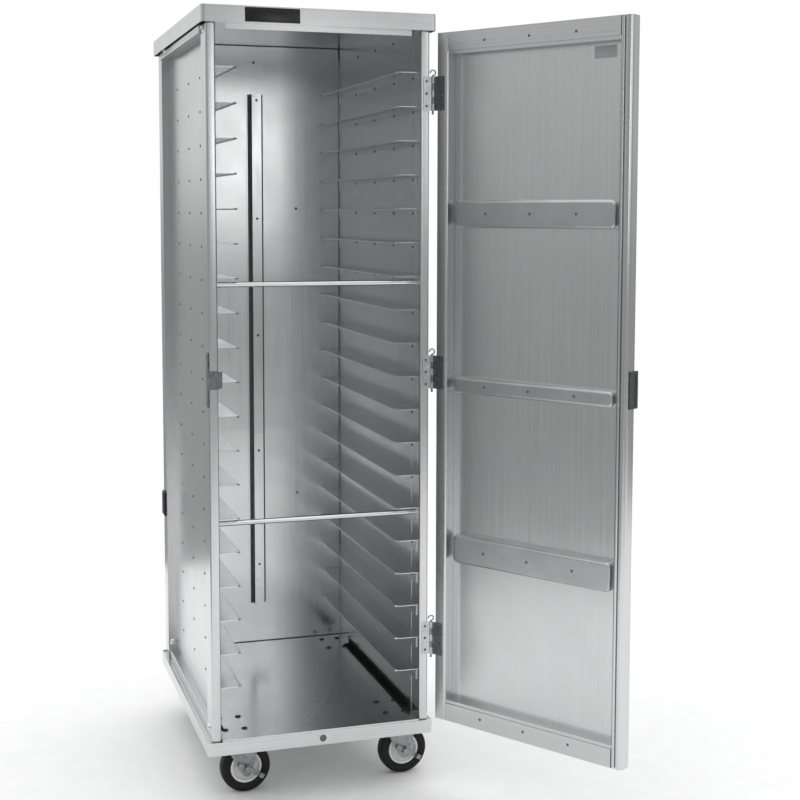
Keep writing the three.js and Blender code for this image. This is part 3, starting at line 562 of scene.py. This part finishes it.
def smoothing(degrees):
    """Joins doubled corners and shades as smooth where faces meet at less than an angle."""
    group = bpy.data.node_groups.new("smooth_shading", "GeometryNodeTree")
    for way in ("INPUT", "OUTPUT"):
        group.interface.new_socket("Geometry", in_out=way, socket_type="NodeSocketGeometry")
    shape = add(group, "NodeGroupInput").outputs[0]
    joined = add(group, "GeometryNodeMergeByDistance", {"Geometry": shape, "Distance": 0.002 * MM})
    angle = add(group, "GeometryNodeInputMeshEdgeAngle").outputs["Unsigned Angle"]
    gentle = add(group, "FunctionNodeCompare", {0: angle, 1: math.radians(degrees)}, operation="LESS_EQUAL")
    faces = add(group, "GeometryNodeSetShadeSmooth", {"Geometry": joined.outputs[0]}, domain="FACE")
    edges = add(group, "GeometryNodeSetShadeSmooth",
                {"Geometry": faces.outputs[0], "Shade Smooth": gentle.outputs[0]}, domain="EDGE")
    add(group, "NodeGroupOutput", {0: edges.outputs[0]})
    return group


def facing(spot, way, frame):
    """A matrix that stands a shape on a spot with its Z axis along a direction, inside another frame."""
    return frame @ Matrix.Translation(Vector(spot)) @ Vector(way).to_track_quat("Z", "Y").to_matrix().to_4x4()


# Outlines of the fastener heads, as (radius, height over the sheet).
RIVET = ((3.3, -0.1), (3.3, 0.15), (3.0, 0.6), (2.2, 1.1), (1.1, 1.35), (0, 1.4))
FLUSH_RIVET = ((3.2, -0.1), (3.1, 0.12), (2.4, 0.2), (2.2, 0.1), (1.2, 0.14), (0, 0.16))
ROUND_BOLT = ((8.5, -0.1), (8.5, 0.8), (7.8, 2.6), (6.0, 4.4), (3.4, 5.4), (0, 5.8))
FLOOR_BOLT = ((7.0, -0.1), (7.0, 0.5), (6.4, 1.5), (4.8, 2.4), (2.4, 2.9), (0, 3.0))


def heads(name, profile, spots, way, frame, look, body, sides=14):
    """A row or field of like fastener heads, all facing one way."""
    return piece(name, [turned(profile, sides, facing(spot, way, frame)) for spot in spots], look, body)


# ---- Fasteners

def hand(side):
    """The name of a side."""
    return "left" if side < 0 else "right"


def side_rivets(side):
    """Four rivets through each pan slide, the front one into the post, and the row into the head rail."""
    heights = [SLIDE_TOP - SLIDE_PITCH * index - SLIDE_RIVET_DROP for index in range(SLIDES)]
    inside = [(side * LEG_FACE, y, z) for z in heights for y in SLIDE_RIVETS]
    outside = [(side * WALL_OUTSIDE, y, z) for z in heights for y in SLIDE_RIVETS[1:]]
    head_rail = [(side * WALL_INSIDE, y, HEAD_RAIL_RIVET_HEIGHT) for y in HEAD_RAIL_RIVETS]
    heads(f"slide_rivets_inside_{hand(side)}", RIVET, inside, (-side, 0, 0), in_cabinet, rivet, "cabinet")
    heads(f"slide_rivets_outside_{hand(side)}", RIVET, outside, (side, 0, 0), in_cabinet, rivet, "cabinet")
    heads(f"head_rail_rivets_{hand(side)}", RIVET, head_rail, (-side, 0, 0), in_cabinet, rivet, "cabinet")


def back_rivets():
    """Rivets through the back wall and the pan stop."""
    heads("back_wall_rivets", RIVET, [(x, BACK_FACE, z) for x, z in BACK_RIVETS], (0, -1, 0), in_cabinet,
          rivet, "cabinet")
    heads("pan_stop_rivets", RIVET, [(0, STOP_FACE, z) for z in STOP_RIVETS], (0, -1, 0), in_cabinet, rivet,
          "cabinet")
    heads("back_wall_rivets_outside", RIVET,
          [(0, BACK_OUTSIDE, z) for z in STOP_RIVETS] + [(x, BACK_OUTSIDE, z) for x, z in BACK_RIVETS],
          (0, 1, 0), in_cabinet, rivet, "cabinet")


def post_bolts(side):
    """Round-head bolts: on the outer side of the front post and of the head rail's rear end, and on the
    front of the rear post, just over the foot rail."""
    outward = [(side * POST_FACE, y, z) for y, z in FRONT_POST_BOLTS]
    outward.append((side * EAVE_OUTSIDE, *HEAD_RAIL_BOLT))
    heads(f"post_bolts_{hand(side)}", ROUND_BOLT, outward, (side, 0, 0), in_cabinet, bright_rod, "cabinet",
          sides=24)
    breadth, height = REAR_POST_BOLT
    heads(f"rear_post_bolt_{hand(side)}", ROUND_BOLT, [(side * breadth, REAR_POST_FRONT, height)],
          (0, -1, 0), in_cabinet, bright_rod, "cabinet", sides=24)


def floor_bolts():
    """The heads of the caster bolts on the cabinet floor, four to a caster."""
    across, along = CASTER_BOLTS
    spots = [(x + across * a, y + along * b, FLOOR_TOP) for x in CASTER_COLUMNS for y in CASTER_ROWS
             for a in SIDES for b in SIDES]
    heads("floor_bolts", FLOOR_BOLT, spots, (0, 0, 1), in_cabinet, bolt_steel, "cabinet",
          sides=20)


def door_rivets():
    """Three rivets through each rail and channel of the door, seen on both sides."""
    inside = ([(x, CHANNEL_FACE, z) for z in CHANNELS for x in DOOR_RIVETS]
              + [(x, RAIL_FACE, z) for z in RAILS for x in DOOR_RIVETS])
    heads("door_rivets_inside", RIVET, inside, (0, 1, 0), in_door, rivet, "door")
    outside = [(x, DOOR_OUTSIDE, z) for z in CHANNELS + RAILS for x in DOOR_RIVETS]
    heads("door_rivets_outside", RIVET, outside, (0, -1, 0), in_door, rivet, "door")


def hinge_rivets(name):
    """Flush rivets in both leaves of a hinge."""
    low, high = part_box(f"hinge_leaf_post_{name}")
    middle = (low.z + high.z) / 2 / MM
    heads(f"hinge_rivets_post_{name}", FLUSH_RIVET,
          [(POST_LEAF_LINE, POST_LEAF_FACE, middle + z) for z in POST_LEAF_RIVETS], (0, -1, 0), in_cabinet,
          rivet, "cabinet")
    heads(f"hinge_rivets_door_{name}", FLUSH_RIVET,
          [(x, DOOR_LEAF_FACE, middle + z) for x, z in DOOR_LEAF_RIVETS], (0, 1, 0), in_door, rivet, "door")


def strike_screws():
    """Screws at the ends of the strike's strap."""
    heads("strike_screws", FLUSH_RIVET, [(STRIKE_FACE, STRIKE_LINE, LATCH_HEIGHT + z) for z in STRIKE_SCREWS],
          (-1, 0, 0), in_cabinet, bolt_steel, "cabinet")


# ---- Plates, trims and beads of painted shade

def nameplate():
    """The bare black plate on the cap's front lip."""
    left, right = NAMEPLATE_SPAN
    middle = sum(CAP_LIP) / 2
    plate = boxed((left, CAP_FRONT - NAMEPLATE_THICKNESS, middle - NAMEPLATE_HALF_HEIGHT),
                  (right, CAP_FRONT, middle + NAMEPLATE_HALF_HEIGHT), in_cabinet)
    piece("nameplate", [plate], black_enamel, "cabinet", edge=0.35)


def eave_trim(side):
    """The extruded trim that closes the gap between a head rail and the cap's side lip, with a narrow
    flange under its left edge."""
    left, right = sorted((side * RAIL_OUTSIDE, side * EAVE_OUTSIDE))
    body = boxed((left, -EAVE_REACH, EAVE_TRIM[0]), (right, EAVE_REACH, EAVE_TRIM[1]), in_cabinet)
    flange = boxed((left, -EAVE_REACH, EAVE_FLANGE[0]),
                   (left + EAVE_FLANGE_WIDTH, EAVE_REACH, EAVE_FLANGE[1]), in_cabinet)
    piece(f"eave_trim_{hand(side)}", [body, flange], trim_metal, "cabinet", edge=0.8)


def corner_shade_beads():
    """Painted shade in the cabinet's inside corners at the back: grey beads that stand for the shadow in the
    joints.
    """
    wall, back, bead = WALL_INSIDE, BACK_FACE, 1.8
    upright = [boxed((side * wall - (bead if side > 0 else 0), back - bead, FLOOR_TOP),
                     (side * wall + (0 if side > 0 else bead), back, CEILING), in_cabinet) for side in SIDES]
    level = [boxed((-wall, back - bead, z), (wall, back, z + bead), in_cabinet)
             for z in (FLOOR_TOP, CEILING - bead)]
    piece("corner_shade_beads", upright + level, shade_bead_look, "cabinet", edge=0.6)


def pan_stop_shade_beads():
    """Painted shade on the pan stop's two flanges: grey strips that stand for their shadow and the dark
    reflection beside them.
    """
    proud, sunk = 2.2, 1.5
    flanges = []
    for side in SIDES:
        left, right = sorted(side * edge for edge in STOP_FLANGE)
        flanges.append(boxed((left, STOP_BACK - proud, STOP_RUN[0]), (right, STOP_BACK - sunk, STOP_RUN[1]),
                             in_cabinet))
    piece("pan_stop_shade_beads", flanges, shade_bead_look, "cabinet", edge=0.2)


def base_plug():
    """The domed plug in the front of the base."""
    outline = ((8.0, -0.1), (8.0, 0.5), (7.2, 1.3), (5.0, 2.1), (2.5, 2.4), (0, 2.5))
    spot = facing((0, BASE_FRONT, BASE_PLUG_HEIGHT), (0, -1, 0), in_cabinet)
    piece("base_plug", [turned(outline, 32, spot)], nylon, "cabinet")


def door_label():
    """The bare label on the door panel, under the top rail at the free edge."""
    (left, right), (bottom, top) = LABEL_SPAN, LABEL_HEIGHTS
    film = boxed((left, DOOR_PANEL, bottom), (right, DOOR_PANEL + LABEL_THICKNESS, top), in_door)
    piece("door_label", [film], label_film, "door")


# ---- Casters

def caster_frame(name):
    """The axle's frame: Z along the axle, towards the back."""
    return (in_caster(name) @ Matrix.Translation((AXLE_REACH, 0, WHEEL_RADIUS))
            @ Matrix.Rotation(math.radians(-90), 4, "X"))


def both_ways(half):
    """An outline across the wheel from its front half, mirrored."""
    return ([(radius, -width) for radius, width in half]
            + [(radius, width) for radius, width in reversed(half)])


def wheel(name):
    """Tyre with a crowned tread and round shoulders, and a dished wheel centre with its boss."""
    frame = caster_frame(name)
    tread = both_ways(((37.0, 12.6), (38.2, 13.6), (41, 14.4), (44, 14.8), (46, 15.7), (50, 16),
                       (53.4, 15.3), (55.9, 13.5), (57.3, 10.8), (57.85, 7), (58, 3)))
    piece(f"tyre_{name}", [turned(tread, 96, frame, closed=True)], tyre_rubber, f"wheel_{name}",
          replaces=(f"caster_tyre_{name}",))
    centre = both_ways(((4.6, 17.5), (11, 17.5), (12, 16.9), (12.6, 7), (14.2, 5), (27, 4.5), (29.4, 5.6),
                        (30.8, 8.2), (31.6, 12.2), (32.4, 12.9), (35.8, 12.9), (36.7, 12.2)))
    piece(f"wheel_centre_{name}", [turned(centre, 96, frame, closed=True)], pale_hub, f"wheel_{name}",
          replaces=(f"caster_hub_{name}",))


# ---- Finishes on the solids

def dress():
    """Gives each solid its finish, by the first of these that its name starts with, and smooth shading."""
    upright = rolled_aluminium_sheet(UPRIGHT)
    flat = rolled_aluminium_sheet(LENGTHWISE)
    across = rolled_aluminium_sheet(CROSSWISE)
    post = extruded_aluminium(UPRIGHT)
    rail_door = extruded_aluminium(CROSSWISE, DOOR_TURN)
    pressed = pressed_aluminium()
    stainless = stamped_stainless_steel("bright", "#b9bbbd", "#cbcccd")
    # The darker stainless copy is painted shade: it stands for the dark surroundings that the door's hinge
    # leaves, the hinge pins and the strike reflect.
    stainless_painted_shade = stamped_stainless_steel("painted_shade_copy", "#7c7e80", "#929496")
    latch_paint = painted_zinc_casting()
    strip = extruded_rubber()
    looks = (
        ("top_cap", across), ("base_pan", across), ("floor_panel", flat), ("back_panel", upright),
        ("left_wall", upright), ("right_wall", upright), ("door_skin", upright), ("post_", post),
        ("pan_stop", post), ("side_rail", trim_metal), ("door_hinge_stile", post),
        ("door_latch_stile", post), ("door_rail", rail_door), ("door_channel", pressed),
        ("tie_rod", bright_rod), ("hinge_leaf_post", stainless), ("hinge_", stainless_painted_shade),
        ("latch_lever_pin", stainless), ("latch_strike", stainless_painted_shade), ("latch_", latch_paint),
        ("floor_seal", strip), ("bumper_pad", strip), ("caster_tyre", tyre_rubber),
        ("caster_hub", pale_hub), ("caster_", zinc), ("brake_", zinc))
    for name, node in frame["nodes"].items():
        look = next(look for start, look in looks if name.startswith(start))
        for slot in node.material_slots:
            slot.material = look
        node.modifiers.new("smooth_shading", "NODES").node_group = smooth_shading
        node.modifiers.new("flat_faces_first", "WEIGHTED_NORMAL").keep_sharp = True


camera()
studio()
floor()
smooth_shading = smoothing(35)
rivet = cold_headed_aluminium()
bright_rod = drawn_steel_rod()
zinc = zinc_plated_steel()
bolt_steel = heat_blackened_steel()
tyre_rubber = moulded_rubber()
pale_hub = moulded_polypropylene()
black_enamel = stoved_black_enamel()
label_film = metallised_polyester()
nylon = moulded_nylon()
# The grey beads are painted shade, in the back corners and on the pan stop's flanges.
shade_bead_look = painted_shade_beads()
trim_metal = extruded_aluminium(LENGTHWISE)
dress()
for side in SIDES:
    side_rivets(side)
back_rivets()
for side in SIDES:
    post_bolts(side)
floor_bolts()
door_rivets()
for hinge in HINGES:
    hinge_rivets(hinge)
strike_screws()
nameplate()
for side in SIDES:
    eave_trim(side)
corner_shade_beads()
pan_stop_shade_beads()
base_plug()
door_label()
for caster in CASTER_NAMES:
    wheel(caster)

low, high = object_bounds()
